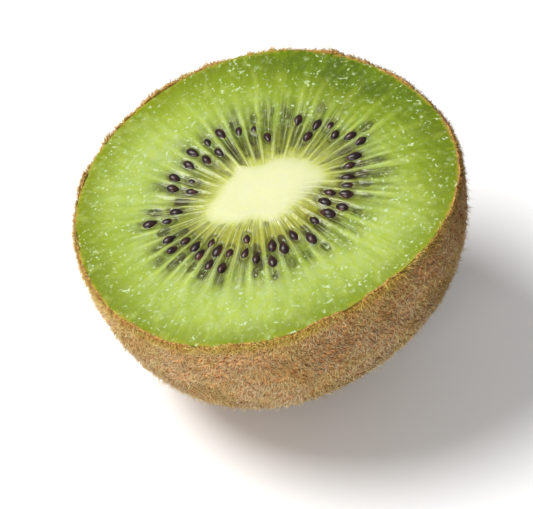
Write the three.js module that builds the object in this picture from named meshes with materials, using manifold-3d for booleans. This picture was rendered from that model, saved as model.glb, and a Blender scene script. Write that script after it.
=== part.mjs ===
// Half a kiwi fruit, cut straight across its middle and lying on its rounded end.
// Its two pieces are the flesh inside its thin skin, with the seeds set in the cut face, and
// the pale core that runs down through it. Millimetres, +Z up, origin on the surface that it
// lies on, under the middle of its bounding box.
import * as THREE from "three";
import { mergeVertices } from "three/addons/utils/BufferGeometryUtils.js";
import Module from "manifold-3d";

// Driving dimensions of the fruit, measured in its own frame: cut face at z = 0, rounded end down.
const CUT_LENGTH = 54; // the cut face's longer diameter, along x
const CUT_WIDTH = 48.8; // its shorter diameter, along y
const DEPTH = 33; // from the cut face to the rounded end
const BLUNTNESS = 2.25; // exponent of the side's curve: 2 is an ellipse, more has fuller shoulders
const RIM_ROUND = 0.5; // how far the flesh rounds over at the cut edge
const REST_TILT = 10.8; // degrees that the cut face leans over towards -x
const FLAT_DEPTH = 0.6; // how much of the rounded end the flat spot under the fruit takes

// The outline isn't a true oval: each lobe is [count, share of the radius, degrees of its peak].
const LOBES = [
  [3, 0.02, -26],
  [4, 0.01, 57],
  [1, 0.008, -128],
];

// The pale core, a rounded lozenge that tapers to a spindle's point inside the fruit.
const CORE_LENGTH = 17.6;
const CORE_WIDTH = 10.2;
const CORE_DEPTH = 25;
const CORE_CORNERS = 1.75; // exponent of its outline: 1 is a straight-sided lozenge, 2 an oval
const CORE_SWELL = 0.2; // the firm core stands this proud of the cut
const CORE_GAP = 0.3; // clearance all round between core and flesh

// The chambers that fan out from the core, each with a pale wall on either side.
const CHAMBERS = 40;
const CHAMBER_SINK = 0.3; // the soft flesh between two walls sinks by this much
const CHAMBER_END = 0.55; // how far out they reach: 0 is the core's edge, 1 the skin

// The seeds, one or two in most chambers, lying along them with the narrow end to the core.
const SEED_LENGTH = 2.2;
const SEED_WIDTH = 1.35;
const SEED_THICKNESS = 1.1;
const SEED_SHOWING = 0.55; // share of a seed's thickness that stands above its bed
const SEED_TAPER = 0.35; // how much narrower than the middle its core end is
const SEED_MIDDLE = 4.9; // from the core's edge to the middle of a chamber's seeds
const SEED_LIFTED = 0.8; // on the +y side they lie this much further out, opposite this much nearer
const SEED_SPREAD = 3.6; // and in each chamber anywhere over this distance
const SEED_PITCH = 2.3; // from one seed to the next in a chamber
const SEED_PITCH_SPREAD = 0.5;
const SEED_ASIDE = 0.35; // share of the chamber's width over which they lie to either side
const SEED_SIZES = 0.2; // share of a seed's size over which the sizes vary
const SEED_TWIST = 24; // degrees over which they turn away from the chamber's line
const SEEDLESS = 0.1; // share of the chambers that show no seed
const TWO_SEEDED = 0.33; // share of them that show two
const DRAW = 106005; // start of the random draw
const DRAWS_SKIPPED = 3;

// Facets
const COLUMNS = 2 * CHAMBERS; // one column on each chamber wall and one between
const SIDE_RINGS = 12;
const FACE_RINGS = 12;
const CORE_RINGS = 7;
const SEED_AROUND = 7;
const SEED_ALONG = 4;

const wasm = await Module();
wasm.setup();

// A repeatable draw of numbers from 0 to 1. The first few hang together, so they are skipped.
let drawn = DRAW;
function draw() {
  drawn = (drawn * 16807) % 2147483647;
  return drawn / 2147483647;
}
for (let skipped = 0; skipped < DRAWS_SKIPPED; skipped += 1) draw();

// A closed three.js geometry as a solid that can be cut and joined.
function solidOf(geometry) {
  const bare = new THREE.BufferGeometry();
  bare.setAttribute("position", geometry.getAttribute("position"));
  bare.setIndex(geometry.index);
  const merged = mergeVertices(bare, 1e-4);
  const corners = merged.index.array;
  const kept = [];
  for (let i = 0; i < corners.length; i += 3) {
    const [a, b, c] = [corners[i], corners[i + 1], corners[i + 2]];
    if (a !== b && b !== c && c !== a) kept.push(a, b, c);
  }
  return new wasm.Manifold(
    new wasm.Mesh({
      numProp: 3,
      vertProperties: merged.attributes.position.array,
      triVerts: new Uint32Array(kept),
    }),
  );
}

// The solid's facets as a three.js geometry.
function geometryOf(solid) {
  const mesh = solid.getMesh();
  const geometry = new THREE.BufferGeometry();
  geometry.setAttribute("position", new THREE.BufferAttribute(mesh.vertProperties, 3));
  geometry.setIndex(new THREE.BufferAttribute(mesh.triVerts, 1));
  geometry.computeVertexNormals();
  return geometry;
}

// A closed solid from rings stacked from its lowest pole to its top one. Each ring is a
// function from a column's turn, in radians, to a point. The lathe gives the mesh of facets.
function solidOfRings(rings) {
  const profile = rings.map((_, level) => new THREE.Vector2(1, level));
  const lathe = new THREE.LatheGeometry(profile, COLUMNS);
  const place = lathe.getAttribute("position");
  for (let i = 0; i < place.count; i += 1) {
    const column = Math.floor(i / rings.length) % COLUMNS;
    const point = rings[i % rings.length]((2 * Math.PI * column) / COLUMNS, column);
    place.setXYZ(i, point.x, point.y, point.z);
  }
  const solid = solidOf(lathe);
  return solid.volume() < 0 ? solidOf(flipped(lathe)) : solid;
}

// The same geometry with its faces turned round.
function flipped(geometry) {
  const turned = geometry.clone();
  const corners = turned.index.array;
  for (let i = 0; i < corners.length; i += 3) {
    [corners[i + 1], corners[i + 2]] = [corners[i + 2], corners[i + 1]];
  }
  return turned;
}

function signedPower(value, power) {
  return Math.sign(value) * Math.abs(value) ** power;
}

// The skin's outline at the cut.
function skinOutline(turn) {
  let lumps = 1;
  for (const [count, share, peak] of LOBES) {
    lumps += share * Math.cos(count * (turn - THREE.MathUtils.degToRad(peak)));
  }
  return new THREE.Vector2(
    (CUT_LENGTH / 2) * lumps * Math.cos(turn),
    (CUT_WIDTH / 2) * lumps * Math.sin(turn),
  );
}

// The core's outline at the cut, grown all round by the given amount.
function coreOutline(turn, grown = 0) {
  const power = 2 / CORE_CORNERS;
  return new THREE.Vector2(
    (CORE_LENGTH / 2 + grown) * signedPower(Math.cos(turn), power),
    (CORE_WIDTH / 2 + grown) * signedPower(Math.sin(turn), power),
  );
}

// A point of the cut face on the ray at the given turn: 0 is the core's edge and 1 the skin.
function facePoint(turn, outward) {
  return coreOutline(turn).lerp(skinOutline(turn), outward);
}

// How deep the chambers are sunk along a ray: nothing at the core's edge, most a quarter of the way.
function chamberSink(outward) {
  if (outward <= 0 || outward >= CHAMBER_END) return 0;
  return CHAMBER_SINK * Math.sin(Math.PI * (outward / CHAMBER_END) ** 0.6) ** 2;
}

// The whole half as one solid, with the chambers' relief across its cut face.
function makeBody() {
  const rings = [];
  for (let level = SIDE_RINGS; level >= 0; level -= 1) {
    const lift = (Math.PI / 2) * (level / SIDE_RINGS);
    const reach = level === SIDE_RINGS ? 0 : Math.cos(lift) ** (2 / BLUNTNESS);
    const down = RIM_ROUND + (DEPTH - RIM_ROUND) * Math.sin(lift) ** (2 / BLUNTNESS);
    rings.push((turn) => {
      const edge = skinOutline(turn).multiplyScalar(reach);
      return new THREE.Vector3(edge.x, edge.y, -down);
    });
  }
  for (let level = FACE_RINGS; level >= 0; level -= 1) {
    const outward = level / FACE_RINGS;
    rings.push((turn, column) => {
      const point = facePoint(turn, outward);
      if (level === FACE_RINGS) point.setLength(point.length() - RIM_ROUND);
      const onWall = column % 2 === 0;
      return new THREE.Vector3(point.x, point.y, onWall ? 0 : -chamberSink(outward));
    });
  }
  rings.push(() => new THREE.Vector3(0, 0, 0));
  return solidOfRings(rings);
}

// The core, or the hole for it when it is grown by the gap and its top raised out of the cut.
function makeSpindle(grown, topAt) {
  const rings = [];
  for (let level = CORE_RINGS; level >= 0; level -= 1) {
    const lift = (Math.PI / 2) * (level / CORE_RINGS);
    const reach = level === CORE_RINGS ? 0 : Math.cos(lift);
    const down = (CORE_DEPTH + grown) * Math.sin(lift);
    rings.push((turn) => {
      const edge = coreOutline(turn, grown).multiplyScalar(reach);
      return new THREE.Vector3(edge.x, edge.y, -down);
    });
  }
  const shoulder = (turn) => coreOutline(turn, grown);
  if (grown > 0) {
    rings.push((turn) => new THREE.Vector3(shoulder(turn).x, shoulder(turn).y, topAt));
  } else {
    rings.push((turn) => {
      const edge = shoulder(turn).multiplyScalar(0.6);
      return new THREE.Vector3(edge.x, edge.y, topAt);
    });
  }
  rings.push(() => new THREE.Vector3(0, 0, topAt));
  return solidOfRings(rings);
}

// One seed along +x with its narrow end at -x, centred on the origin.
function makeSeed(size) {
  const seed = new THREE.SphereGeometry(0.5, SEED_AROUND, SEED_ALONG);
  seed.rotateZ(Math.PI / 2);
  const place = seed.getAttribute("position");
  for (let i = 0; i < place.count; i += 1) {
    const along = place.getX(i);
    const girth = 1 + SEED_TAPER * (along < 0 ? 2 * along : 0);
    place.setXYZ(
      i,
      along * SEED_LENGTH * size,
      place.getY(i) * SEED_WIDTH * size * girth,
      place.getZ(i) * SEED_THICKNESS * size * girth,
    );
  }
  return seed;
}

// One seed at the given number of chambers round, with its middle at the given distance from
// the core's edge, turned away from the chamber's line by some degrees.
function seedInChamber(round, distance, size, twist) {
  const turn = (2 * Math.PI * round) / CHAMBERS;
  const inner = facePoint(turn, 0);
  const outer = facePoint(turn, 1);
  const outward = distance / inner.distanceTo(outer);
  const middle = facePoint(turn, outward);
  const bed = -chamberSink(outward) + (SEED_SHOWING - 0.5) * SEED_THICKNESS * size;
  const seed = makeSeed(size);
  seed.rotateZ(outer.clone().sub(inner).angle() + THREE.MathUtils.degToRad(twist));
  seed.translate(middle.x, middle.y, bed);
  return solidOf(seed);
}

// All the seeds, by one rule: draws say how many a chamber shows and how they lie in it.
function makeSeeds() {
  const seeds = [];
  for (let chamber = 0; chamber < CHAMBERS; chamber += 1) {
    const lot = draw();
    const count = lot < SEEDLESS ? 0 : lot < 1 - TWO_SEEDED ? 1 : 2;
    const lifted = SEED_LIFTED * Math.sin((2 * Math.PI * (chamber + 0.5)) / CHAMBERS);
    const middle = SEED_MIDDLE + lifted + SEED_SPREAD * (draw() - 0.5);
    const pitch = SEED_PITCH + SEED_PITCH_SPREAD * draw();
    for (let n = 0; n < 2; n += 1) {
      const distance = middle + pitch * (n - (count === 2 ? 0.5 : 0));
      const round = chamber + 0.5 + SEED_ASIDE * (draw() - 0.5);
      const size = 1 + SEED_SIZES * (draw() - 0.5);
      const twist = SEED_TWIST * (draw() - 0.5);
      if (n < count) seeds.push(seedInChamber(round, distance, size, twist));
    }
  }
  return seeds;
}

// A block whose top face is the surface that the tilted fruit lies on, in the fruit's frame.
function makeGround(body, tilt) {
  const lowest = body.transform(tilt.toArray()).boundingBox().min[2];
  const size = 2 * CUT_LENGTH;
  const block = new THREE.BoxGeometry(size, size, size);
  block.translate(0, 0, lowest + FLAT_DEPTH - size / 2);
  block.applyMatrix4(tilt.clone().invert());
  return solidOf(block);
}

const tilt = new THREE.Matrix4().makeRotationY(-THREE.MathUtils.degToRad(REST_TILT));
const whole = makeBody();
const seeded = makeSeeds().reduce(
  (fruit, seed) => fruit.add(seed),
  whole.subtract(makeSpindle(CORE_GAP, 2 * SEED_THICKNESS)),
);
const flesh = new THREE.Mesh(
  geometryOf(seeded.subtract(makeGround(whole, tilt))),
  new THREE.MeshStandardMaterial({ color: 0xa9c465, roughness: 0.35, metalness: 0 }),
);
flesh.name = "flesh";

const core = new THREE.Mesh(
  geometryOf(makeSpindle(0, CORE_SWELL)),
  new THREE.MeshStandardMaterial({ color: 0xf4f4bf, roughness: 0.5, metalness: 0 }),
);
core.name = "core";

const half = new THREE.Group();
half.add(flesh, core);
half.applyMatrix4(tilt);
half.updateMatrixWorld(true);
const extent = new THREE.Box3().setFromObject(half, true);
const middle = extent.getCenter(new THREE.Vector3());
half.position.set(-middle.x, -middle.y, -extent.min.z);

const kiwiHalf = new THREE.Group();
kiwiHalf.add(half);

export default kiwiHalf;
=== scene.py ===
# Half of a kiwi fruit on a pale table: wet green flesh with pale rays and dark seeds, a cream
# core, and a thin skin under dense golden-brown down.
import functools
import itertools
import math

import bpy
import numpy as np
from mathutils import Matrix, Vector


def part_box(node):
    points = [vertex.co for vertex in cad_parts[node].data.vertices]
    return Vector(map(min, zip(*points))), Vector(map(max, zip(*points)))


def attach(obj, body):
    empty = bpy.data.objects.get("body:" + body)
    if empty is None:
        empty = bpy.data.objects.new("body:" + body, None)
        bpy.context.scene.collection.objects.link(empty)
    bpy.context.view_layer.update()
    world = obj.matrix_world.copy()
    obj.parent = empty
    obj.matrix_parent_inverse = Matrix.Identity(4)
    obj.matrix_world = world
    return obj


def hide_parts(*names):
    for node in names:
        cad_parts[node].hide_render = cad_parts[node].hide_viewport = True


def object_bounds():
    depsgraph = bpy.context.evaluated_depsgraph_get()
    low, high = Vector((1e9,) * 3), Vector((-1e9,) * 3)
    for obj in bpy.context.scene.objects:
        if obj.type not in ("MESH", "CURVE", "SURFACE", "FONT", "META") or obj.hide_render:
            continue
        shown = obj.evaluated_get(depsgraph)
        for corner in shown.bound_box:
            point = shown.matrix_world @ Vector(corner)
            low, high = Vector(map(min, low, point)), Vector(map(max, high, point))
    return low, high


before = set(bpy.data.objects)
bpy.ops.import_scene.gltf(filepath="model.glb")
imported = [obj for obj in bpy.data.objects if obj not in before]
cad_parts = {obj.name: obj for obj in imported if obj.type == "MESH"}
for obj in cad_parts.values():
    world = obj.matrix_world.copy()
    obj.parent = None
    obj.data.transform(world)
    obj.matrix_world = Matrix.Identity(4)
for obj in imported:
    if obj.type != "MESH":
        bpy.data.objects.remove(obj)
cad_low, cad_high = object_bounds()

# Sizes in millimetres, in the fruit's own frame: cut at z = 0, rounded end down.
MM = 0.001
CUT_LENGTH = 54
CUT_WIDTH = 48.8
DEPTH = 33
BLUNTNESS = 2.25  # exponent of the side's curve: 2 is an ellipse, more has fuller shoulders
RIM_ROUND = 0.5
REST_TILT = 10.8  # degrees that the cut leans over towards -x
LOBES = ((3, 0.02, -26), (4, 0.01, 57), (1, 0.008, -128))  # count, share, degrees of its peak

CORE_LENGTH = 17.6
CORE_WIDTH = 10.2
CORE_DEPTH = 25
CORE_CORNERS = 1.75  # exponent of its outline: 1 is a straight-sided lozenge, 2 an oval
CORE_SWELL = 0.2  # how far it stands proud of the cut

# Degrees round, millimetres and spread in degrees of each uneven place in the core's edge
CORE_LUMPS = (
    (104, 1.4, 10), (72, -0.4, 14), (40, 0.3, 12), (157, -0.6, 12), (222, -1.2, 24),
    (265, 0.4, 12), (305, -0.4, 18), (345, 1.0, 9), (5, -0.4, 7),
)

# The same for how much darker the chambers are, how much further out their shade reaches, how much
# deeper green the flesh beyond them is (its own colour and partly painted shade), how much paler it
# is (pale rays and partly painted light), and how much likelier it is that a seed lies just below the cut
ROOM_SHADES = (
    (86, 0.62, 22), (52, 0.48, 18), (144, -0.73, 31), (268, -0.34, 15), (340, 0.25, 18), (185, -0.15, 16),
)
ROOM_REACHES = ((80, 0.07, 26), (30, 0.11, 16), (140, -0.26, 30), (340, 0.08, 20), (230, -0.03, 20))
# Deeper green: partly the flesh's own colour, partly painted shade towards the upper right
DEEP_AND_SHADED_PLACES = ((33, 0.42, 24), (60, 0.12, 14), (190, 0.27, 34), (270, 0.24, 22), (96, 0.06, 14))
# Paler flesh: partly pale rays, partly painted light on the upper left
PALE_AND_LIT_PLACES = ((138, 0.75, 32), (240, 0.15, 20))
SEEDS_UNDER_PLACES = ((85, 0.7, 26), (250, 0.7, 40), (335, 0.7, 26))

CHAMBERS = 40
CHAMBER_SINK = 0.3
CHAMBER_END = 0.55

SEED_LENGTH = 2.2
SEED_WIDTH = 1.35
SEED_THICKNESS = 1.1
SEED_SHOWING = 0.55
SEED_TAPER = 0.35
SEED_MIDDLE = 4.9
SEED_LIFTED = 0.8
SEED_SPREAD = 3.6
SEED_PITCH = 2.3
SEED_PITCH_SPREAD = 0.5
SEED_ASIDE = 0.35
SEED_SIZES = 0.2
SEED_TWIST = 24
SEEDLESS = 0.1  # share of the chambers
TWO_SEEDED = 0.33
DRAW = 106005
DRAWS_SKIPPED = 3

SKIN_THICKNESS = 0.22
SKIN_OVERLAP = 0.07  # how far the flesh reaches into the skin, so that no gap shows between them
SKIN_LUMPS = 0.16  # how uneven the bare skin is
RIM_RAGGED = 0.75  # how far the skin's cut edge goes up and down
RIM_DRAG = 0.02  # how far the flesh drops at the skin, and over what width
RIM_DRAG_WIDTH = 0.9
HAIR_ROOTED = 0.12  # how deep the hairs' roots go into the skin
TABLE_GAP = 0.02  # how far the hairs stay off the table
SHARP_ANGLE = 60  # degrees between faces from which an edge stays sharp

# Rows and columns of the finished surfaces
COLUMNS = 15 * CHAMBERS
FACE_RINGS = 124
HOLE_RINGS = 6
FLANK_RINGS = 14
CORE_TOP_RINGS = 40
SKIN_COLUMNS = 440
SKIN_RINGS = 64

# Camera, as in the photograph: which way round the fruit, how high, how far, and how close up
VIEW_AROUND = -22.8
VIEW_UP = 49.7
VIEW_DISTANCE = 0.6
VIEW_LENS = 290

LIGHT_TARGET = (0, 0, 0.02)
SKY_STRENGTH = 0.36

CUT_LIGHT = 1.45  # how much brighter the lit cut shows than its own colour
CUT_SHEEN = 0.022  # and the white shine that lies over it

# Colours as on screen, 0 to 255, from the core's middle at 0 over its edge at 0.5 to the skin at 1
CUT_COLOURS = (
    (0.0, (240, 241, 191)), (0.4, (236, 238, 185)), (0.475, (226, 230, 164)),
    (0.492, (222, 227, 151)), (0.508, (212, 219, 122)), (0.545, (184, 190, 90)),
    (0.64, (147, 158, 64)), (0.74, (174, 195, 86)), (0.8, (182, 204, 86)),
    (0.87, (166, 188, 58)), (0.94, (147, 165, 34)), (0.985, (140, 155, 30)),
)

TAU = 2 * math.pi
chance = np.random.default_rng(7)


# Numbers over the surface

def smooth(low, high, value):
    """0 below low, 1 above high, and an even S between them."""
    share = np.clip((value - low) / (high - low), 0, 1)
    return share * share * (3 - 2 * share)


def cloud(points, size, start):
    """Soft random lumps of one size, from 0 to 1, for an array of points."""
    cells = np.asarray(points, float) / size
    corner = np.floor(cells)
    part = cells - corner
    part = part * part * (3 - 2 * part)
    total = np.zeros(cells.shape[:-1])
    for step in itertools.product((0, 1), repeat=cells.shape[-1]):
        mixed = (corner + step) @ np.array((127.1, 311.7, 74.7)[: len(step)]) + start
        value = np.sin(mixed) * 43758.5453
        weight = np.prod(np.where(step, part, 1 - part), axis=-1)
        total += weight * (value - np.floor(value))
    return total


def bell(value):
    return np.exp(-(value**2))


def humps(points, places):
    """Soft humps round the fruit, from the degrees round, size and spread of each."""
    around = np.degrees(np.arctan2(points[..., 1], points[..., 0]))
    total = 0
    for middle, size, extent in places:
        total = total + size * bell(((around - middle + 180) % 360 - 180) / extent)
    return total


# The fruit's shape

def signed_power(value, power):
    return np.sign(value) * np.abs(value) ** power


def skin_outline(turn):
    lumps = 1
    for count, share, peak in LOBES:
        lumps = lumps + share * np.cos(count * (turn - math.radians(peak)))
    return np.stack([CUT_LENGTH / 2 * lumps * np.cos(turn), CUT_WIDTH / 2 * lumps * np.sin(turn)], -1)


def core_outline(turn):
    power = 2 / CORE_CORNERS
    along = CORE_LENGTH / 2 * signed_power(np.cos(turn), power)
    across = CORE_WIDTH / 2 * signed_power(np.sin(turn), power)
    return np.stack([along, across], -1)


def face_point(turn, outward):
    """A point of the cut: outward is -1 in the middle, 0 at the core's edge and 1 at the skin."""
    inside = np.clip(outward, -1, 0)[..., None]
    outside = np.clip(outward, 0, 1)[..., None]
    core = core_outline(turn)
    return core * (1 + inside) + (skin_outline(turn) - core) * outside


def chamber_sink(outward):
    share = np.clip(outward / CHAMBER_END, 0, 1)
    return CHAMBER_SINK * np.sin(math.pi * share**0.6) ** 2


def chamber_pitch(turn, outward):
    """How wide a chamber is, wall to wall."""
    step = 0.01
    run = face_point(turn + step, outward) - face_point(turn - step, outward)
    return np.linalg.norm(run, axis=-1) / (2 * step) * TAU / CHAMBERS


def flank(turn, lift, inset=0.0):
    """A point of the rounded side: lift is 0 at the cut and a quarter turn at the bottom."""
    reach = np.clip(np.cos(lift), 0, 1) ** (2 / BLUNTNESS)
    down = np.clip(np.sin(lift), 0, 1) ** (2 / BLUNTNESS)
    outline = skin_outline(turn)
    outline = outline * (1 - inset / np.linalg.norm(outline, axis=-1, keepdims=True))
    edge = outline * reach[..., None]
    depth = RIM_ROUND + (DEPTH - RIM_ROUND - inset) * down
    return np.concatenate([edge, -depth[..., None]], -1)


def level(points, height):
    """Flat points raised to a height."""
    height = np.broadcast_to(height, points.shape[:-1])
    return np.concatenate([points, height[..., None]], -1)


# Where the fruit lies in the frame

TILT = np.array(Matrix.Rotation(-math.radians(REST_TILT), 3, "Y"))
whole_turn, whole_lift = np.meshgrid(np.linspace(0, TAU, 721), np.linspace(0, TAU / 4, 181))
leaning = flank(whole_turn, whole_lift) @ TILT.T
lowest, highest = leaning.min((0, 1)), leaning.max((0, 1))
flesh_low, flesh_high = (np.array(corner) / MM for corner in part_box("flesh"))
middle_place = (flesh_low + flesh_high - lowest - highest) / 2
cut_rise = (face_point(np.zeros(1), np.ones(1))[0, 0] - RIM_ROUND) * math.sin(math.radians(REST_TILT))
PLACE = np.array([middle_place[0], middle_place[1], flesh_high[2] - cut_rise])


def placed(points):
    """Points of the fruit's own frame, in millimetres, put where the fruit lies, in metres."""
    row = (np.asarray(points, float) @ TILT.T + PLACE) * MM
    row[..., 2] = np.maximum(row[..., 2], 0)  # the flat spot that the fruit lies on
    return row


# Making meshes

def rolled(name, points, fields):
    """A closed shell rolled from a grid. points has rings, then columns, and the last column
    repeats the first. fields are numbers that the mesh keeps at each point."""
    rings, columns = points.shape[0] - 1, points.shape[1] - 1
    bpy.ops.object.select_all(action="DESELECT")
    bpy.ops.mesh.primitive_grid_add(x_subdivisions=columns, y_subdivisions=rings, size=1)
    shell = bpy.context.object
    shell.name = shell.data.name = name
    mesh = shell.data
    flat = np.empty(3 * len(mesh.vertices), np.float32)
    mesh.vertices.foreach_get("co", flat)
    flat = flat.reshape(-1, 3)
    column = np.rint((flat[:, 0] + 0.5) * columns).astype(int)
    ring = np.rint((flat[:, 1] + 0.5) * rings).astype(int)
    mesh.vertices.foreach_set("co", placed(points)[ring, column].astype(np.float32).ravel())
    for field, values in fields.items():
        layer = mesh.attributes.new(field, "FLOAT", "POINT")
        layer.data.foreach_set("value", values[ring, column].astype(np.float32))
    bpy.ops.object.mode_set(mode="EDIT")
    bpy.ops.mesh.select_all(action="SELECT")
    bpy.ops.mesh.remove_doubles(threshold=1e-6)
    bpy.ops.mesh.normals_make_consistent(inside=False)
    bpy.ops.object.mode_set(mode="OBJECT")
    return shell


def select_only(shell):
    bpy.ops.object.select_all(action="DESELECT")
    shell.select_set(True)
    bpy.context.view_layer.objects.active = shell


def soften(shell):
    """Smooth shading, with an edge where faces meet at more than the sharp angle."""
    select_only(shell)
    bpy.ops.object.shade_smooth_by_angle(angle=math.radians(SHARP_ANGLE), keep_sharp_edges=False)


def apply_modifier(shell, kind, **settings):
    select_only(shell)
    modifier = shell.modifiers.new(kind.title(), kind)
    for setting, value in settings.items():
        setattr(modifier, setting, value)
    bpy.ops.object.modifier_apply(modifier=modifier.name)


# Seeds, by the rule that the solid has

def draws():
    number = DRAW
    while True:
        number = number * 16807 % 2147483647
        yield number / 2147483647


def seed_places():
    """What seed_place gives, for each seed in the cut."""
    draw = draws()
    for _ in range(DRAWS_SKIPPED):
        next(draw)
    places = []
    for chamber in range(CHAMBERS):
        lot = next(draw)
        count = 0 if lot < SEEDLESS else 1 if lot < 1 - TWO_SEEDED else 2
        lifted = SEED_LIFTED * math.sin(TAU * (chamber + 0.5) / CHAMBERS)
        middle = SEED_MIDDLE + lifted + SEED_SPREAD * (next(draw) - 0.5)
        pitch = SEED_PITCH + SEED_PITCH_SPREAD * next(draw)
        for n in range(2):
            distance = middle + pitch * (n - (0.5 if count == 2 else 0))
            round_at = chamber + 0.5 + SEED_ASIDE * (next(draw) - 0.5)
            size = 1 + SEED_SIZES * (next(draw) - 0.5)
            twist = SEED_TWIST * (next(draw) - 0.5)
            if n < count:
                places.append(seed_place(round_at, distance, size, twist))
    return np.array(places)


def seed_place(round_at, distance, size, twist):
    """x, y, z, heading, size and share of the way outward of a seed in the fruit's frame."""
    turn = np.array(TAU * round_at / CHAMBERS)
    inner, outer = face_point(turn, np.array(0.0)), face_point(turn, np.array(1.0))
    outward = distance / np.linalg.norm(outer - inner)
    middle = face_point(turn, np.array(outward))
    bed = -chamber_sink(outward) + (SEED_SHOWING - 0.5) * SEED_THICKNESS * size
    heading = math.atan2(*(outer - inner)[::-1]) + math.radians(twist)
    return (*middle, bed, heading, size, outward)


def nearness(points, places):
    """For each point, how far it is from the nearest seed: 0 in its middle and 1 at its outline."""
    nearest = np.full(points.shape[:-1], 9.0)
    for x, y, _, heading, size, _ in places:
        away = points - (x, y)
        along = away[..., 0] * math.cos(heading) + away[..., 1] * math.sin(heading)
        across = away[..., 1] * math.cos(heading) - away[..., 0] * math.sin(heading)
        far = np.hypot(along / (SEED_LENGTH * size / 2), across / (SEED_WIDTH * size / 2))
        nearest = np.minimum(nearest, far)
    return nearest


seeds_at = seed_places()


# What lies where in the cut

WALL_ASIDE = 0.14  # how far a wall is off its even place, in chambers
SEEDS_UNDER = 44  # seeds that lie below the cut and show only as a shade

wall_places = np.arange(CHAMBERS) + chance.uniform(-WALL_ASIDE, WALL_ASIDE, CHAMBERS)
wall_strength = chance.uniform(0.45, 1, CHAMBERS)
wall_half = chance.uniform(0.07, 0.13, CHAMBERS)
wall_end = chance.uniform(0.42, 0.66, CHAMBERS)
beam_strength = chance.uniform(0.25, 1, 2 * CHAMBERS)
beam_half = chance.uniform(0.28, 0.6, 2 * CHAMBERS)
beam_end = chance.uniform(0.72, 1.0, 2 * CHAMBERS)
beam_strength[1::2] *= 0.6  # the rays between two walls are weaker
room_dark = np.minimum(chance.uniform(0.5, 1.2, CHAMBERS), 1)
room_reach = chance.uniform(0.34, 0.54, CHAMBERS)
seed_sunk = 0.06 + 0.32 * chance.random(len(seeds_at)) ** 2  # how much deeper than in the solid


def places_under():
    """What seed_place gives, for seeds below the cut, clear of each other and of those in it."""
    places = []
    while len(places) < SEEDS_UNDER:
        round_at = chance.integers(CHAMBERS) + 0.5 + chance.uniform(-0.15, 0.15)
        place = seed_place(
            round_at, chance.uniform(3.0, 9.0), chance.uniform(0.8, 1.1), chance.uniform(-14, 14)
        )
        crowd = np.concatenate([seeds_at, np.array(places).reshape(-1, 6)])
        wanted = 0.3 + humps(np.array(place[:2]), SEEDS_UNDER_PLACES)
        if chance.random() < wanted and nearness(np.array([place[:2]]), crowd)[0] > 1.35:
            places.append(place)
    return np.array(places)


seeds_under = places_under()
room_start = chance.uniform(-0.06, 0.14, CHAMBERS)  # where each chamber's shade begins
under_depth = chance.random(SEEDS_UNDER) ** 1.5  # how deep each seed below the cut lies


def evened(chamber_at):
    """Chamber numbers stretched so that each wall has a whole number."""
    places = np.concatenate([[wall_places[-1] - CHAMBERS], wall_places, [wall_places[0] + CHAMBERS]])
    return np.interp(chamber_at, places, np.arange(-1, CHAMBERS + 1))


def streaks(turn, outward, fine, long, start):
    """Soft lumps drawn out along the rays: fine of them round the fruit, long in share of the way."""
    barrel = np.stack([fine / TAU * np.cos(turn), fine / TAU * np.sin(turn), outward / long], -1)
    return cloud(barrel, 1, start)


def veiled(points):
    """How much of the seeds below the cut shows: a clear shape if it is near, a blurred one if deep."""
    shown = np.zeros(points.shape[:-1])
    for place, depth in zip(seeds_under, under_depth):
        clear = 1 - smooth(0.9 - 0.5 * depth, 1.12 + 0.35 * depth, nearness(points, [place]))
        shown = np.maximum(shown, clear * (1 - 0.5 * depth))
    return shown


def core_shift(turn, outward):
    """outward as it would be if the core's edge had its lumps, which only the colours have."""
    inner = core_outline(turn)
    reach = np.linalg.norm(inner, axis=-1)
    width = np.linalg.norm(skin_outline(turn), axis=-1) - reach
    away = outward * np.where(outward < 0, reach, width)
    away = away - humps(inner, CORE_LUMPS) * bell(away / 4)
    return away / np.where(away < 0, reach, width)


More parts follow.
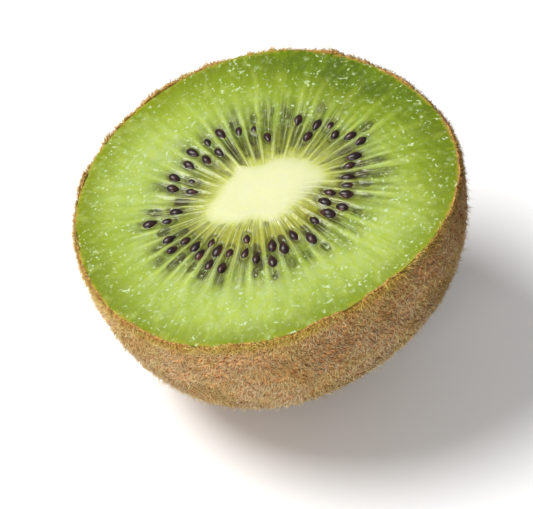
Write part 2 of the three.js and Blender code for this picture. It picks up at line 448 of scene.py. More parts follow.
def cut_fields(turn, outward):
    """The numbers that colour and shape the cut: walls, rays, chambers, seeds under it and so on."""
    spot = face_point(turn, outward)
    surface = outward
    outward = core_shift(turn, outward)
    pitch = chamber_pitch(turn, np.maximum(surface, 0))
    sway = 0.16 * (cloud(spot, 3.5, 1.0) - 0.5) * smooth(0, 0.3, outward)
    chamber_at = evened((CHAMBERS * turn / TAU) % CHAMBERS) + sway
    wall_at = np.rint(chamber_at)
    off_wall = np.abs(chamber_at - wall_at)
    wall_index = wall_at.astype(int) % CHAMBERS
    room_index = np.floor(chamber_at).astype(int) % CHAMBERS

    half = wall_half[wall_index] * (1 + 1.4 * np.maximum(outward, 0))
    wall = bell(off_wall * pitch / half) * wall_strength[wall_index]
    wall *= smooth(-0.14, 0.02, outward) * (1 - smooth(-0.25, 0.02, outward - wall_end[wall_index]))
    wall *= 0.35 + 0.65 * smooth(0.25, 0.65, streaks(turn, outward, 180, 0.12, 11.0))

    beam_at = np.rint(2 * chamber_at)
    off_beam = np.abs(2 * chamber_at - beam_at) / 2
    beam_index = beam_at.astype(int) % (2 * CHAMBERS)
    half = beam_half[beam_index] * (0.5 + 1.2 * np.maximum(outward, 0))
    thin = 0.45 * bell(off_beam * pitch / 0.16) * (1 - smooth(0.4, 0.75, outward))
    beam = 0.62 * bell(off_beam * pitch / half) + thin
    beam *= beam_strength[beam_index]
    beam *= smooth(0.22, 0.46, outward) * (1 - smooth(-0.42, 0.03, outward - beam_end[beam_index]))
    beam *= 0.6 + 0.4 * smooth(0.2, 0.6, streaks(turn, outward, 150, 0.2, 14.0))

    lower = smooth(0.0, 0.8, -(spot[..., 1] + 0.15 * spot[..., 0]) / np.maximum(np.hypot(*spot.T).T, 1))
    near_seed = nearness(spot, seeds_at)
    near_under = nearness(spot, seeds_under)
    middle = smooth(0.04, 0.3, off_wall)
    room = middle * room_dark[room_index] * (1 + humps(spot, ROOM_SHADES))
    reach = room_reach[room_index] + 0.09 * lower + humps(spot, ROOM_REACHES)
    room *= smooth(0.0, 0.07, outward - room_start[room_index]) * (1 - smooth(-0.16, 0.08, outward - reach))
    room *= 0.45 + 0.55 * smooth(0.2, 0.65, streaks(turn, outward, 230, 0.22, 12.0))
    shade = smooth(0.02, 0.2, off_wall) * bell(np.minimum(near_seed, 1.35 * near_under) / 2.2)
    room = np.clip(np.maximum(room, shade), 0, 1)
    under = veiled(spot)
    beam *= 1 - 0.85 * under
    pocket = bell((near_seed - 1.12) / 0.25)
    fibre = smooth(0.5, 0.85, streaks(turn, outward, 420, 0.3, 13.0))
    fibre *= smooth(-0.06, 0.1, outward) * (1 - smooth(0.35, 0.65, outward))

    room *= 1 - 0.7 * lower * smooth(0.0, 0.07, outward) * (1 - smooth(0.18, 0.34, outward))

    outer = smooth(0.3, 0.55, outward)
    height = 0.03 * wall - 0.55 * chamber_sink(surface) * middle - 0.07 * pocket - 0.04 * under
    height += 0.15 * (cloud(spot, 9, 9.0) - 0.5)
    height += (0.015 + 0.015 * outer) * (cloud(spot, 1.3, 3.0) - 0.5)
    height += (0.05 - 0.034 * outer) * (cloud(spot, 0.5, 4.0) - 0.5) * smooth(-0.02, 0.1, outward)
    height += 0.03 * fibre + 0.03 * beam
    x, y = spot[..., 0], spot[..., 1]
    knife = np.exp(-(((x - 21) / 4) ** 2) - ((y + 1) / 9) ** 2)
    height += 0.03 * knife * np.sin(TAU * (x + 0.35 * y) / 1.5 + 5 * cloud(spot, 3, 6.0))
    height += CORE_SWELL * (1 - smooth(-0.4, 0.08, surface))
    # Deeper green towards the raised right side and in places: partly the flesh's own colour, partly painted
    # shade
    deep_and_shaded = 0.72 * smooth(0, 1, 0.93 * x / 27 + 0.37 * y / 24.4) * smooth(0.3, 0.8, outward)
    deep_and_shaded += humps(spot, DEEP_AND_SHADED_PLACES) * smooth(0.24, 0.44, outward) * (0.7 + 0.5 * smooth(0.7, 0.92, outward))
    deep_and_shaded = np.clip(deep_and_shaded, 0, 1)
    # Paler in places and towards the lower side: partly pale rays, partly painted light on the upper left
    pale_and_lit = humps(spot, PALE_AND_LIT_PLACES) * smooth(0.16, 0.36, outward) * (1 - smooth(0.58, 1.0, outward))
    pale_and_lit = pale_and_lit * (0.65 + 0.35 * smooth(0.2, 0.7, streaks(turn, outward, 120, 0.4, 15.0)))
    pale_and_lit += 0.42 * lower * smooth(0.35, 0.6, outward) * (1 - 0.7 * smooth(0.75, 0.95, outward))
    pale_and_lit = np.clip(pale_and_lit, 0, 1)
    fields = {
        "outward": outward, "spin_x": np.cos(turn), "spin_y": np.sin(turn),
        "wall": wall, "beam": beam, "room": room, "under": under, "pocket": pocket, "lower": lower,
        "deep_and_shaded": deep_and_shaded, "pale_and_lit": pale_and_lit,
    }
    return fields, height


# Materials

def srgb(red, green, blue):
    """A colour given as on screen, 0 to 255, as Blender's linear numbers."""
    linear = [((c / 255 + 0.055) / 1.055) ** 2.4 if c > 10 else c / 255 / 12.92 for c in (red, green, blue)]
    return (*linear, 1)


def seen(red, green, blue):
    """The colour of a part of the cut that shows as this one, 0 to 255, in the light there."""
    return (*(max(part - CUT_SHEEN, 0.004) / CUT_LIGHT for part in srgb(red, green, blue)[:3]), 1)


def feed(tree, node, inputs):
    """Sets a node's inputs, each to a value or to another node's output."""
    for socket, value in inputs.items():
        if isinstance(value, bpy.types.NodeSocket):
            tree.links.new(value, node.inputs[socket])
        else:
            node.inputs[socket].default_value = value


def put(tree, kind, inputs=None, **settings):
    """Adds a node."""
    made = tree.nodes.new("ShaderNode" + kind)
    for setting, value in settings.items():
        setattr(made, setting, value)
    feed(tree, made, inputs or {})
    return made


def attribute(tree, name):
    return put(tree, "Attribute", attribute_name=name).outputs["Fac"]


def ramp(tree, value, stops):
    """A colour ramp through (position, colour) stops."""
    made = put(tree, "ValToRGB", {"Fac": value})
    steps = made.color_ramp.elements
    while len(steps) < len(stops):
        steps.new(0.5)
    for step, (position, colour) in zip(steps, stops):
        step.position, step.color = position, colour
    return made.outputs["Color"]


def blend(tree, amount, under, over, how="MIX"):
    """One colour laid over another."""
    inputs = {0: amount, 6: under, 7: over}
    return put(tree, "Mix", inputs, data_type="RGBA", blend_type=how, clamp_result=False).outputs[2]


def sums(tree, operation, *values, clamp=False):
    return put(tree, "Math", dict(enumerate(values)), operation=operation, use_clamp=clamp).outputs[0]


def times(tree, *values):
    return functools.reduce(functools.partial(sums, tree, "MULTIPLY"), values)


def spread(tree, value, low, high, to_low=0.0, to_high=1.0):
    """As smooth, and then from to_low to to_high."""
    ends = {"Value": value, "From Min": low, "From Max": high, "To Min": to_low, "To Max": to_high}
    return put(tree, "MapRange", ends, interpolation_type="SMOOTHSTEP").outputs["Result"]


def noise(tree, vector, size, detail=3, output="Fac"):
    """Noise whose lumps are about as many millimetres across as size says."""
    inputs = {"Vector": vector, "Scale": 1 / (size * MM), "Detail": detail}
    return put(tree, "TexNoise", inputs).outputs[output]


def ray_space(tree, fine, rows):
    """Coordinates that follow the rays: fine cells to a radian, and rows from core to skin."""
    parts = (("X", "spin_x", fine), ("Y", "spin_y", fine), ("Z", "outward", rows))
    inputs = {axis: times(tree, attribute(tree, name), cells) for axis, name, cells in parts}
    return put(tree, "CombineXYZ", inputs).outputs["Vector"]


def ray_noise(tree, count, long, detail=2):
    """Noise drawn out along the rays: count lumps round the fruit, long in share of the way out."""
    space = ray_space(tree, count / TAU, 1 / long)
    return put(tree, "TexNoise", {"Vector": space, "Scale": 1, "Detail": detail}).outputs["Fac"]


def bump(tree, height, strength, rise):
    """Fine relief: rise is in millimetres."""
    inputs = {"Strength": strength, "Distance": rise * MM, "Height": height}
    return put(tree, "Bump", inputs).outputs["Normal"]


def new_material(name):
    made = bpy.data.materials.new(name)
    made.use_nodes = True
    tree = made.node_tree
    return made, tree, tree.nodes["Principled BSDF"]


def cut_look():
    """Colour, roughness and fine height all over the cut, shared by the flesh and the core."""
    tree = bpy.data.node_groups.new("cut_look", "ShaderNodeTree")
    for output, kind in (("Colour", "Color"), ("Roughness", "Float"), ("Wet", "Float"), ("Height", "Float")):
        tree.interface.new_socket(output, in_out="OUTPUT", socket_type="NodeSocket" + kind)
    where = put(tree, "TexCoord").outputs["Object"]
    outward = attribute(tree, "outward")
    wall = attribute(tree, "wall")
    lower = attribute(tree, "lower")
    strand = spread(tree, ray_noise(tree, 620, 0.3), 0.33, 0.67)
    thread = spread(tree, ray_noise(tree, 430, 0.3), 0.56, 0.64)
    spike = spread(tree, ray_noise(tree, 300, 0.5), 0.42, 0.6)

    wobble = sums(tree, "MULTIPLY_ADD", noise(tree, where, 0.8, 3), 0.05, -0.01)
    longer = sums(tree, "MULTIPLY_ADD", lower, 0.05, 0.05)
    feather = sums(tree, "SUBTRACT", 0.03, times(tree, spike, longer))
    feather = sums(tree, "MULTIPLY_ADD", wall, -0.09, feather)
    moved = sums(tree, "ADD", sums(tree, "ADD", outward, wobble), feather)
    share = sums(tree, "MULTIPLY_ADD", moved, 0.5, 0.5)
    colour = ramp(tree, share, [(position, seen(*shade)) for position, shade in CUT_COLOURS])
    olive = times(
        tree, lower, spread(tree, outward, 0.0, 0.07, 0.0, 0.6), spread(tree, outward, 0.12, 0.3, 1.0, 0.0)
    )
    colour = blend(tree, olive, colour, seen(172, 170, 54))
    # Deeper green, partly painted shade
    deep_and_shaded = attribute(tree, "deep_and_shaded")
    colour = blend(tree, deep_and_shaded, colour, seen(92, 112, 8))
    # Paler, partly painted light
    pale_and_lit = attribute(tree, "pale_and_lit")
    colour = blend(tree, pale_and_lit, colour, seen(208, 225, 138))
    beam = attribute(tree, "beam")
    gap = times(
        tree, sums(tree, "SUBTRACT", 1.0, beam), spread(tree, outward, 0.28, 0.42, 0.0, 0.4),
        spread(tree, outward, 0.5, 0.8, 1.0, 0.0), spread(tree, pale_and_lit, 0.0, 0.5, 1.0, 0.25),
    )
    colour = blend(tree, gap, colour, seen(134, 158, 50))
    room = times(tree, attribute(tree, "room"), sums(tree, "MULTIPLY_ADD", strand, -0.23, 0.93))
    dark = spread(tree, noise(tree, where, 0.7, 3), 0.3, 0.62, 0.7, 1.0)
    dusk = blend(tree, spread(tree, noise(tree, where, 2, 2), 0.4, 0.6), seen(64, 67, 46), seen(73, 65, 57))
    colour = blend(tree, times(tree, room, dark), colour, dusk)
    colour = blend(tree, times(tree, attribute(tree, "under"), 0.78), colour, seen(64, 50, 46))
    colour = blend(tree, times(tree, attribute(tree, "pocket"), 0.6), colour, seen(74, 70, 36))
    colour = blend(tree, times(tree, wall, 0.72), colour, seen(188, 198, 146))
    colour = blend(tree, times(tree, beam, 0.95), colour, seen(207, 223, 136))
    thread = times(
        tree, thread, spread(tree, outward, 0.0, 0.06), spread(tree, outward, 0.3, 0.75, 0.5, 0.0)
    )
    colour = blend(tree, thread, colour, seen(202, 211, 160))
    patchy = noise(tree, where, 7, 2)
    patchy = times(tree, spread(tree, patchy, 0.4, 0.66, 0.0, 0.25), spread(tree, outward, 0.05, 0.3))
    colour = blend(tree, patchy, colour, seen(136, 164, 44))

    glassy = ray_noise(tree, 110, 0.13, 3)
    beyond = spread(tree, outward, 0.25, 0.5)
    clear = times(tree, spread(tree, glassy, 0.5, 0.34, 0.0, 0.26), beyond)
    colour = blend(tree, clear, colour, seen(148, 176, 30))
    milky = times(
        tree, spread(tree, glassy, 0.5, 0.66, 0.0, 0.3), beyond, spread(tree, deep_and_shaded, 0.3, 1.0, 1.0, 0.3)
    )
    colour = blend(tree, milky, colour, seen(198, 216, 122))

    grainy = noise(tree, where, 0.42, 2)
    grain = times(tree, spread(tree, grainy, 0.25, 0.75, 0.9, 1.1), spread(tree, strand, 0, 1, 0.96, 1.04))
    fade = spread(tree, outward, 0.4, 0.6, 1.0, 0.2)
    grain = sums(tree, "MULTIPLY_ADD", sums(tree, "SUBTRACT", grain, 1.0), fade, 1.0)
    paler = spread(tree, noise(tree, where, 1.0, 3), 0.36, 0.64, 0.72, 1.24)
    bluer = times(tree, grain, paler)
    grey = put(tree, "CombineColor", {"Red": grain, "Green": grain, "Blue": bluer}).outputs["Color"]
    grainier = blend(tree, 1.0, colour, grey, "MULTIPLY")
    colour = blend(tree, spread(tree, outward, -0.1, 0.1, 0.15, 1.0), colour, grainier)

    # Pale wet flecks, mostly painted glints: dashes drawn out along the rays, round spots and short curved
    # commas, in clusters
    glint_dashes = {0: noise(tree, where, 0.6, 1, "Color"), 1: ray_space(tree, 40, 15)}
    glint_dashes = put(tree, "VectorMath", glint_dashes, operation="ADD").outputs["Vector"]
    glint_dashes = times(tree, dots(tree, glint_dashes, 0.26, 0.38, 3.4), spread(tree, outward, 0.8, 1.0, 0.76, 0.25))
    off_line = sums(tree, "ABSOLUTE", sums(tree, "SUBTRACT", noise(tree, where, 1.5, 1), 0.5))
    clustered = spread(tree, noise(tree, where, 3.6, 2), 0.38, 0.6, 0.2, 1.0)
    glint_commas = spread(tree, noise(tree, where, 0.5, 1), 0.56, 0.68)
    glint_commas = times(tree, spread(tree, off_line, 0.02, 0.1, 1.0, 0.0), glint_commas, clustered)
    crowded = spread(tree, noise(tree, where, 5, 2), 0.4, 0.62, 0.35, 0.9)
    spots = times(tree, dots(tree, bent(tree, where, 0.9), 0.32, 0.42, 3.0), 0.68)
    soft_glints = times(tree, dots(tree, bent(tree, where, 1.1), 0.7, 0.44, 2.6), 0.58)
    spots = times(tree, sums(tree, "MAXIMUM", spots, soft_glints), crowded)
    glints_and_flecks = sums(tree, "MAXIMUM", sums(tree, "MAXIMUM", spots, glint_dashes), glint_commas)
    glints_and_flecks = times(tree, glints_and_flecks, spread(tree, outward, 0.2, 0.5))
    # Less blue on the deeper green side: part of the painted shade there, which also takes out some white
    # sheen
    tinge = put(tree, "CombineColor", {"Red": 1, "Green": 1, "Blue": spread(tree, deep_and_shaded, 0.0, 0.9, 1.0, 0.35)})
    colour = blend(tree, 1.0, colour, tinge.outputs["Color"], "MULTIPLY")
    # The painted glints laid over the flesh
    colour = blend(tree, glints_and_flecks, colour, seen(216, 234, 180))
    grains = dots(tree, bent(tree, where, 1.3), 0.2, 0.26)
    grains = times(tree, grains, spread(tree, outward, -0.3, -0.1, 0.6, 0.0))
    colour = blend(tree, grains, colour, seen(253, 253, 215))
    edge = spread(tree, noise(tree, where, 0.8, 2), 0.35, 0.6)
    edge = times(tree, spread(tree, outward, 0.955, 1.0), edge)
    colour = blend(tree, edge, colour, seen(186, 172, 74))
    cells = noise(tree, where, 0.35, 2)
    cells = times(tree, cells, spread(tree, outward, 0.35, 0.6, 0.6, 0.3))
    height = sums(tree, "ADD", cells, times(tree, glints_and_flecks, 0.4))
    rough = spread(tree, outward, 0.9, 0.97, 0.0, 0.9)
    rough = sums(tree, "MAXIMUM", spread(tree, grainy, 0.3, 0.7, 0.4, 0.6), rough)
    wet = times(tree, spread(tree, outward, 0.9, 0.97, 0.28, 0.0), spread(tree, deep_and_shaded, 0.2, 1, 1, 0.5))
    outputs = {"Colour": colour, "Roughness": rough, "Wet": wet, "Height": height}
    feed(tree, tree.nodes.new("NodeGroupOutput"), outputs)
    return tree


def bent(tree, where, size):
    """Object coordinates as a grid of cells of one size in millimetres, warped so that spots are uneven."""
    bend = noise(tree, where, 0.5 * size, 1, "Color")
    grid = put(tree, "VectorMath", {0: where, "Scale": 1 / (size * MM)}, operation="SCALE").outputs["Vector"]
    warped = {0: bend, 1: (0.9, 0.9, 0.9), 2: grid}
    return put(tree, "VectorMath", warped, operation="MULTIPLY_ADD").outputs["Vector"]


def dots(tree, vector, share, largest, crisp=4.5):
    """Soft spots in some cells of a random grid, up to the largest radius, which is in cells."""
    cells = put(tree, "TexVoronoi", {"Vector": vector, "Scale": 1})
    lot = put(tree, "SeparateColor", {"Color": cells.outputs["Color"]})
    radius = spread(tree, lot.outputs["Red"], 1 - 2 * share, 1, -0.6 * largest, largest)
    inside = sums(tree, "SUBTRACT", radius, cells.outputs["Distance"])
    spot = sums(tree, "MULTIPLY", inside, crisp, clamp=True)
    return times(tree, spot, spread(tree, lot.outputs["Green"], 0.4, 1.0, 0.3, 1.0))


def cut_material(name, group, relief, bleed, blue_bleed, coat, coat_roughness):
    """The cut's look on one piece: its relief, how much light goes through it, how far the blue part
    of that goes, and its wet shine, which is the group's if coat is None."""
    made, tree, shader = new_material(name)
    shared = put(tree, "Group", node_tree=group).outputs
    feed(tree, shader, {
        "Base Color": shared["Colour"],
        "Roughness": shared["Roughness"],
        "Normal": bump(tree, shared["Height"], *relief),
        "Specular IOR Level": 0.15,
        "Subsurface Weight": bleed,
        "Subsurface Radius": (1.0, 1.1, blue_bleed),
        "Subsurface Scale": 0.4 * MM,
        "Coat Weight": shared["Wet"] if coat is None else coat,
        "Coat Roughness": coat_roughness,
    })
    return made


def seed_material():
    made, tree, shader = new_material("seed_coat")
    where = put(tree, "TexCoord").outputs["Object"]
    stops = ((0.3, srgb(18, 6, 5)), (0.55, srgb(36, 14, 11)), (0.75, srgb(74, 36, 24)))
    feed(tree, shader, {
        "Base Color": ramp(tree, noise(tree, where, 0.9, 2), stops),
        "Normal": bump(tree, noise(tree, where, 0.16, 2), 0.45, 0.04),
        "Roughness": 0.36,
        "Specular IOR Level": 0.35,
        "Coat Weight": 0.12,
        "Coat Roughness": 0.17,
    })
    return made


def skin_material():
    made, tree, shader = new_material("bare_skin")
    where = put(tree, "TexCoord").outputs["Object"]
    spots = noise(tree, where, 0.5)
    stops = (
        (0.3, srgb(156, 112, 68)), (0.48, srgb(186, 136, 82)), (0.62, srgb(204, 154, 96)),
        (0.8, srgb(214, 170, 112)),
    )
    rusty = times(tree, spread(tree, noise(tree, where, 0.8, 2), 0.58, 0.68), 0.6)
    colour = blend(tree, rusty, ramp(tree, spots, stops), srgb(150, 82, 40))
    by_cut = spread(tree, attribute(tree, "below_cut"), 0.0, 2.2, 0.9, 0.0)
    grit = spread(tree, noise(tree, where, 0.3, 2), 0.42, 0.58)
    grit = blend(tree, grit, srgb(112, 78, 36), srgb(184, 146, 72))
    feed(tree, shader, {
        "Base Color": blend(tree, times(tree, by_cut, spread(tree, spots, 0.25, 0.5)), colour, grit),
        "Normal": bump(tree, spots, 0.6, 0.2),
        "Roughness": 0.85,
        "Specular IOR Level": 0.25,
    })
    return made


def hair_material(name, root, middle, tip, rim):
    """Hair that changes from root to tip, a little different from one hair to the next."""
    made, tree, shader = new_material(name)
    colour = ramp(tree, attribute(tree, "along"), ((0.0, root), (0.45, middle), (1.0, tip)))
    colour = blend(tree, times(tree, attribute(tree, "by_rim"), 0.75), colour, rim)
    colour = blend(tree, times(tree, attribute(tree, "rust"), 0.53), colour, srgb(184, 112, 52))
    # Painted shade on the +x side of the skin
    colour = blend(tree, attribute(tree, "shaded_side"), colour, (0.87, 0.77, 0.68, 1), "MULTIPLY")
    shade = attribute(tree, "shade")
    blue = times(tree, shade, spread(tree, attribute(tree, "golden"), 0.0, 1.0, 1.13, 0.8))
    tint = put(tree, "CombineColor", {"Red": times(tree, shade, 0.918), "Green": shade, "Blue": blue})
    feed(tree, shader, {
        "Base Color": blend(tree, 1.0, colour, tint.outputs["Color"], "MULTIPLY"),
        "Roughness": 0.6,
        "Specular IOR Level": 0.3,
    })
    return made


def table_material():
    made, tree, shader = new_material("white_table")
    feed(tree, shader, {"Base Color": (0.92, 0.92, 0.92, 1), "Roughness": 0.7})
    return made


# Maps for baking, from -1 to 1 and then fitted into the square

def read_rows(items, part, width=3):
    """One property of every vertex, face or corner, as rows."""
    row = np.empty(width * len(items))
    items.foreach_get(part, row)
    return row.reshape(-1, width)


def add_map(shell, spots, hidden):
    """spots is where each point of the mesh lies in the map. The hidden faces go small into a corner."""
    mesh = shell.data
    corners = np.empty(len(mesh.loops), int)
    mesh.loops.foreach_get("vertex_index", corners)
    sides = np.empty(len(mesh.polygons), int)
    mesh.polygons.foreach_get("loop_total", sides)
    small = np.repeat(hidden, sides)[:, None]
    layer = mesh.uv_layers.new(name="OFBake")
    spread_out = np.where(small, 0.08 * spots[corners] + 0.085, 0.49 * spots[corners] + 0.5)
    layer.uv.foreach_set("vector", spread_out.astype(np.float32).ravel())


def in_fruit(shell):
    """Points of the mesh, and middles and normals of its faces, back in the fruit's own frame."""
    points = read_rows(shell.data.vertices, "co")
    middles, normals = (read_rows(shell.data.polygons, part) for part in ("center", "normal"))
    return (points / MM - PLACE) @ TILT, (middles / MM - PLACE) @ TILT, normals @ TILT


def add_top_map(shell, reach):
    """The cut as seen from above. reach is how far the piece goes from its middle."""
    points, _, normals = in_fruit(shell)
    add_map(shell, points[:, :2] / reach, normals[:, 2] < -0.02)


def add_cup_map(shell):
    """The skin opened flat like a dish, its bottom in the middle."""
    points, middles, normals = in_fruit(shell)
    flat = np.linalg.norm(points[:, :2], axis=1, keepdims=True)
    share = np.arctan2(flat, -points[:, 2:]) / (TAU / 4 * 1.03)
    inside = ((middles + (0, 0, DEPTH / 3)) * normals).sum(1) < 0
    add_map(shell, points[:, :2] / np.maximum(flat, 1e-6) * share, inside)


# Pieces

def stacked(name, rings, fields):
    """A shell from the points and the fields of each ring."""
    kept = {field: np.stack([ring[field] for ring in fields]) for field in fields[0]}
    shell = rolled(name, np.stack(rings), kept)
    soften(shell)
    return shell


def spindle_ring(turn, height, share):
    """A ring of the core below the cut: share is 0 at the cut and 1 at the tip."""
    lift = TAU / 4 * share
    return level(core_outline(turn) * max(math.cos(lift), 0), height - CORE_DEPTH * math.sin(lift))


def make_flesh():
    """The green flesh: the wall of the core's hole, the cut, the rounded edge and the side."""
    turn = np.linspace(0, TAU, COLUMNS + 1)
    edge = np.linalg.norm(skin_outline(turn), axis=-1, keepdims=True) - SKIN_THICKNESS + SKIN_OVERLAP
    found, height = cut_fields(turn, np.zeros_like(turn))
    rings = [spindle_ring(turn, height, 1 - step / HOLE_RINGS) for step in range(HOLE_RINGS)]
    fields = [found] * HOLE_RINGS
    for outward in np.linspace(0, 1, FACE_RINGS + 1):
        found, height = cut_fields(turn, np.full_like(turn, outward))
        spot = face_point(turn, np.full_like(turn, outward))
        reach = np.linalg.norm(spot, axis=-1, keepdims=True)
        from_edge = np.clip((edge - reach)[..., 0] / RIM_DRAG_WIDTH, 0, 1)
        rings.append(level(spot * np.minimum(1, edge / reach), height - RIM_DRAG * (1 - from_edge) ** 2))
        fields.append(found)
    for step in range(FLANK_RINGS + 1):
        lift = np.full_like(turn, TAU / 4 * step / FLANK_RINGS)
        rings.append(flank(turn, lift, SKIN_THICKNESS - SKIN_OVERLAP))
        fields.append(found)
    shell = stacked("flesh_body", rings, fields)
    add_top_map(shell, CUT_LENGTH / 2 * 1.04)
    return shell


def make_core():
    """The core: its top in the cut and the spindle below."""
    turn = np.linspace(0, TAU, COLUMNS + 1)
    rings, fields = [], []
    for outward in np.linspace(-1, 0, CORE_TOP_RINGS + 1):
        found, height = cut_fields(turn, np.full_like(turn, outward))
        rings.append(level(face_point(turn, np.full_like(turn, outward)), height))
        fields.append(found)
    for step in range(1, HOLE_RINGS + 1):
        rings.append(spindle_ring(turn, height, step / HOLE_RINGS))
        fields.append(found)
    shell = stacked("core_spindle", rings, fields)
    add_top_map(shell, CORE_LENGTH / 2 * 1.02)
    return shell


def make_seeds():
    """One seed is modelled, and copied to each place."""
    bpy.ops.object.select_all(action="DESELECT")
    bpy.ops.mesh.primitive_uv_sphere_add(segments=22, ring_count=14, radius=0.5)
    first = bpy.context.object
    bpy.ops.object.mode_set(mode="EDIT")
    bpy.ops.mesh.select_all(action="SELECT")
    bpy.ops.transform.rotate(value=TAU / 4, orient_axis="Y", center_override=(0, 0, 0))
    bpy.ops.object.mode_set(mode="OBJECT")
    shape = read_rows(first.data.vertices, "co")
    girth = 1 + SEED_TAPER * np.where(shape[:, :1] < 0, 2 * shape[:, :1], 0)
    shape = shape * np.concatenate([np.ones_like(girth), girth, girth], 1)
    shape = shape * (SEED_LENGTH, SEED_WIDTH, SEED_THICKNESS)
    lot = np.random.default_rng(5)
    own_map = read_rows(first.data.uv_layers.active.uv, "vector", 2)
    first.data.uv_layers.new(name="OFBake")
    side = math.ceil(math.sqrt(len(seeds_at)))
    copies = []
    for n, ((x, y, z, heading, size, _), sunk) in enumerate(zip(seeds_at, seed_sunk)):
        copy = first.copy()
        copy.data = first.data.copy()
        spots = (0.05 + 0.9 * own_map + (n % side, n // side)) / side
        copy.data.uv_layers["OFBake"].uv.foreach_set("vector", spots.astype(np.float32).ravel())
        bpy.context.collection.objects.link(copy)
        nod = Matrix.Rotation(lot.uniform(-0.3, 0.3), 3, "Y")
        roll = Matrix.Rotation(lot.uniform(-0.5, 0.5), 3, "X")
        spin = np.array(Matrix.Rotation(heading, 3, "Z") @ (nod @ roll))
        copy.data.vertices.foreach_set("co", placed(shape * size @ spin.T + (x, y, z - sunk)).ravel())
        copies.append(copy)
    bpy.data.objects.remove(first)
    select_only(copies[0])
    for copy in copies:
        copy.select_set(True)
    bpy.ops.object.join()
    seeds = bpy.context.object
    seeds.name = seeds.data.name = "seeds"
    bpy.ops.object.shade_smooth()
    return seeds


def skin_points():
    """The skin's outside: rings from its ragged cut edge down to the bottom."""
    turn, share = np.meshgrid(np.linspace(0, TAU, SKIN_COLUMNS + 1), np.linspace(0, 1, SKIN_RINGS + 1))
    points = flank(turn, TAU / 4 * share**1.6)
    below = -points[..., 2] - RIM_ROUND
    lumps = SKIN_LUMPS * (cloud(points, 1.1, 21.0) - 0.5) + SKIN_LUMPS * (cloud(points, 0.5, 22.0) - 0.5)
    outward = points * (1, 1, 0.6)
    outward /= np.linalg.norm(outward, axis=-1, keepdims=True)
    points = points + outward * lumps[..., None]
    ragged = RIM_RAGGED * (1.2 * cloud(points[0], 3, 23.0) + 0.9 * cloud(points[0], 0.9, 24.0) - 1.05)
    points[..., 2] += np.exp(-below / 0.8) * (RIM_ROUND - 0.02 + ragged)
    return points


def make_skin(points):
    """The thin brown skin, open at the cut, with a wall all round."""
    shell = rolled_open("skin", points, {"below_cut": -points[..., 2]})
    apply_modifier(shell, "SOLIDIFY", thickness=SKIN_THICKNESS * MM, offset=-1, use_even_offset=True)
    soften(shell)
    add_cup_map(shell)
    return shell


def rolled_open(name, points, fields):
    """As rolled, for a cup that is open at its first ring: normals face away from its inside."""
    shell = rolled(name, points, fields)
    middle = Vector(placed(np.array([[0, 0, -DEPTH / 3]]))[0])
    face = shell.data.polygons[0]
    if face.normal.dot(face.center - middle) < 0:
        shell.data.flip_normals()
    return shell


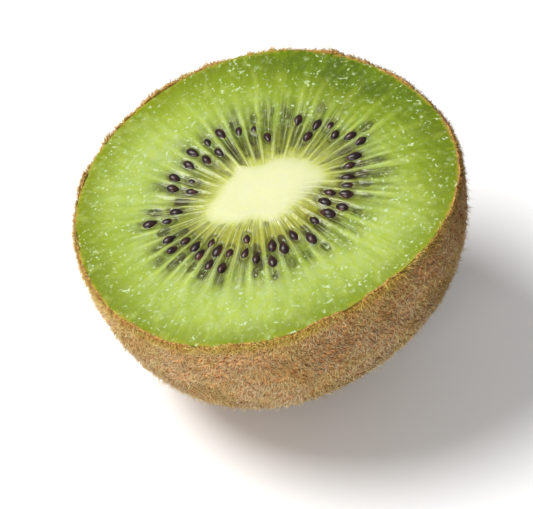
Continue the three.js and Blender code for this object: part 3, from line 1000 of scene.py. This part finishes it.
def make_hairs(points, start, name, count, length, width, lean, curl, lowest):
    """Short curved hairs rooted all over the skin's outside, each a closed three-sided spike."""
    lot = np.random.default_rng(start)
    corner = points[:-1, :-1], points[:-1, 1:], points[1:, :-1]
    round_way, down_way = corner[1] - corner[0], corner[2] - corner[0]
    out_way = np.cross(down_way, round_way)
    area = np.linalg.norm(out_way, axis=-1)
    area = area * bell(np.maximum(-corner[0][..., 2] - RIM_ROUND, 0) / lowest)
    cell = lot.choice(area.size, count, p=(area / area.sum()).ravel())
    pick = [way.reshape(-1, 3)[cell] for way in (corner[0], round_way, down_way, out_way)]
    share = lot.random((2, count, 1))
    root = pick[0] + pick[1] * share[0] + pick[2] * share[1]
    side, down, out = (
        way / np.maximum(np.linalg.norm(way, axis=1, keepdims=True), 1e-9) for way in pick[1:]
    )
    combed = 5 * (cloud(root, 7, 51.0) - 0.5) + 3 * (cloud(root, 2.5, 52.0) - 0.5)
    heading = combed[:, None] + lot.normal(0, 0.7, (count, 1))
    along = down * np.cos(heading) + side * np.sin(heading)
    tip_over = np.radians(lot.uniform(*lean, (count, 1)))
    first = out * np.cos(tip_over) + along * np.sin(tip_over)
    bend = lot.normal(0, 1, (count, 3)) * curl
    second = first + bend - out * curl * 0.6
    second /= np.linalg.norm(second, axis=1, keepdims=True)
    size = lot.uniform(*length, (count, 1))
    middle = root + first * size * 0.5
    tip = middle + second * size * 0.5
    flat = np.cross(first, out + 0.01 * side)
    flat /= np.linalg.norm(flat, axis=1, keepdims=True)
    thick = np.cross(flat, first)
    half = lot.uniform(*width, (count, 1)) / 2
    ring = [flat * math.cos(TAU * k / 3) + thick * math.sin(TAU * k / 3) for k in range(3)]
    base = root - out * HAIR_ROOTED
    vertices = [base + r * half for r in ring] + [middle + r * half * 0.8 for r in ring] + [tip]
    vertices = placed(np.stack(vertices, 1))
    vertices[..., 2] = np.maximum(vertices[..., 2], TABLE_GAP * MM)
    spike = [(0, 2, 1)]
    for k in range(3):
        after = (k + 1) % 3
        spike += [(k, after, 3 + after), (k, 3 + after, 3 + k), (3 + k, 3 + after, 6)]
    faces = (np.arange(count)[:, None, None] * 7 + np.array(spike)).reshape(-1, 3)
    mesh = bpy.data.meshes.new(name)
    mesh.from_pydata(vertices.reshape(-1, 3).tolist(), [], faces.tolist())
    patch = 0.6 * cloud(root, 5, 41.0) + 0.4 * cloud(root, 1.6, 42.0)
    by_rim = (1 - smooth(0.2, 2.6, -root[:, 2])) * (1 - 0.6 * smooth(13, 25, -root[:, 0]))
    # Painted shade: hair darker and redder towards +x, and the rim there less bright
    shaded_side = smooth(8, 26, root[:, 0])
    shade = 0.755 + 0.12 * smooth(0, 1, 0.75 * lot.random(count) + 0.45 * (patch - 0.5) + 0.12)
    shade = shade + by_rim * (0.16 - 0.38 * shaded_side)
    near_rim = 1 - smooth(0.2, 1.8, -root[:, 2])
    rust = 0.75 * near_rim * smooth(0.56, 0.7, cloud(root, 0.8, 46.0))
    rust = np.maximum(smooth(0.62, 0.76, cloud(root, 0.45, 43.0)), rust)
    golden = smooth(0.3, 0.7, 0.6 * cloud(root, 3.4, 44.0) + 0.4 * cloud(root, 1.1, 45.0))
    golden = golden + 0.2 * smooth(1.5, 3, -root[:, 2]) * (1 - smooth(3, 9, -root[:, 2]))
    golden = np.clip(golden - 0.25 * smooth(8, 18, -root[:, 2]), 0, 1)
    fields = {"shade": shade, "by_rim": by_rim, "rust": rust, "golden": golden, "shaded_side": shaded_side}
    fields = {field: np.repeat(values, 7) for field, values in fields.items()}
    fields["along"] = np.tile((0, 0, 0, 0.5, 0.5, 0.5, 1), count)
    for field, values in fields.items():
        mesh.attributes.new(field, "FLOAT", "POINT").data.foreach_set("value", values.astype(np.float32))
    add_bake_map(mesh, count, spike)
    hairs = bpy.data.objects.new(name, mesh)
    bpy.context.collection.objects.link(hairs)
    mesh.polygons.foreach_set("use_smooth", np.ones(len(mesh.polygons), bool))
    return hairs


def add_bake_map(mesh, count, spike):
    """A map with a small square for each hair, so that each keeps its own colour when baked."""
    side = math.ceil(math.sqrt(count))
    spots = []
    for face in spike:
        if max(face) < 3:
            spots += [(0.1, 0.02), (0.5, 0.1), (0.9, 0.02)]
            continue
        wraps = 0 in (face[0] % 3, face[1] % 3) and 2 in [v % 3 for v in face if v < 6]
        for v in face:
            step = v % 3 if v < 6 else 1
            step = 3 if wraps and v < 6 and v % 3 == 0 else step
            spots.append((0.1 + 0.8 * step / 3, (0.15, 0.5, 0.95)[v // 3]))
    spots = np.array(spots)
    index = np.arange(count)
    cell = np.stack([index % side, index // side], 1)
    layer = mesh.uv_layers.new(name="OFBake")
    layer.uv.foreach_set("vector", ((cell[:, None] + spots) / side).astype(np.float32).ravel())


def make_table():
    bpy.ops.object.select_all(action="DESELECT")
    bpy.ops.mesh.primitive_plane_add(size=6)
    table = bpy.context.object
    table.name = "table"
    return table


# The studio

def aim(thing, target):
    thing.rotation_euler = (Vector(target) - thing.location).to_track_quat("-Z", "Y").to_euler()


def add_camera():
    around, up = math.radians(VIEW_AROUND), math.radians(VIEW_UP)
    target = (cad_low + cad_high) / 2
    away = Vector((math.sin(around) * math.cos(up), -math.cos(around) * math.cos(up), math.sin(up)))
    camera = bpy.data.objects.new("camera", bpy.data.cameras.new("camera"))
    camera.data.lens = VIEW_LENS
    camera.data.clip_start = 0.01
    camera.location = target + away * VIEW_DISTANCE
    bpy.context.collection.objects.link(camera)
    bpy.context.scene.camera = camera
    aim(camera, target)


def add_softbox(name, place, size, power):
    light = bpy.data.lights.new(name, "AREA")
    light.shape = "DISK"
    light.size = size
    light.energy = power
    lamp = bpy.data.objects.new(name, light)
    lamp.location = place
    bpy.context.collection.objects.link(lamp)
    aim(lamp, LIGHT_TARGET)


def add_studio():
    world = bpy.data.worlds.new("studio")
    world.use_nodes = True
    world.node_tree.nodes["Background"].inputs["Color"].default_value = (1, 1, 1, 1)
    world.node_tree.nodes["Background"].inputs["Strength"].default_value = SKY_STRENGTH
    bpy.context.scene.world = world
    add_softbox("key", (-0.46, 0.25, 0.8), 0.5, 10.7)
    add_softbox("fill", (-0.73, -0.53, 0.18), 0.5, 6.4)
    scene = bpy.context.scene
    scene.view_settings.view_transform = "Standard"
    scene.cycles.use_denoising = True


add_camera()
add_studio()
table = make_table()
table.data.materials.append(table_material())

cut_group = cut_look()
flesh = make_flesh()
flesh.data.materials.append(cut_material("wet_flesh", cut_group, (0.3, 0.06), 0.45, 0.4, None, 0.08))
core = make_core()
core.data.materials.append(cut_material("pale_core", cut_group, (0.2, 0.05), 0.35, 0.6, 0.12, 0.12))
seeds = make_seeds()
seeds.data.materials.append(seed_material())
skin_outside = skin_points()
skin = make_skin(skin_outside)
skin.data.materials.append(skin_material())

# Kinds of hair: name, count, length, width, lean from upright in degrees, curl, how far down from
# the rim most of them grow, and the colours of root, middle, tip and rim
COATS = (
    ("olive_felt", 19000, (0.6, 1.1), (0.12, 0.2), (66, 88), 0.3, math.inf,
     ((164, 126, 78), (194, 160, 106), (212, 182, 128), (206, 178, 86))),
    ("golden_down", 19500, (0.8, 1.5), (0.1, 0.17), (55, 84), 0.45, math.inf,
     ((202, 152, 92), (230, 194, 138), (242, 214, 162), (226, 196, 100))),
    ("tan_down", 19500, (0.7, 1.3), (0.09, 0.16), (50, 82), 0.45, math.inf,
     ((182, 128, 72), (222, 184, 128), (238, 208, 156), (216, 186, 92))),
    ("rust_tufts", 7000, (0.4, 0.8), (0.12, 0.2), (38, 78), 0.4, math.inf,
     ((160, 98, 46), (184, 114, 58), (200, 134, 74), (186, 120, 48))),
    ("bristles", 6000, (1.0, 1.8), (0.05, 0.09), (25, 65), 0.35, math.inf,
     ((200, 164, 110), (230, 196, 144), (246, 222, 176), (234, 208, 122))),
    ("rim_fringe", 10500, (0.4, 1.0), (0.06, 0.11), (5, 80), 0.5, 0.6,
     ((182, 128, 62), (220, 180, 104), (238, 208, 144), (210, 172, 78))),
)
coats = []
for start, (*kind, colours) in enumerate(COATS, 31):
    coat = make_hairs(skin_outside, start, *kind)
    coat.data.materials.append(hair_material(coat.name, *(srgb(*colour) for colour in colours)))
    coats.append(coat)

for piece in (flesh, seeds, skin, *coats):
    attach(piece, "root")
    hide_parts("flesh")
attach(core, "root")
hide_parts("core")
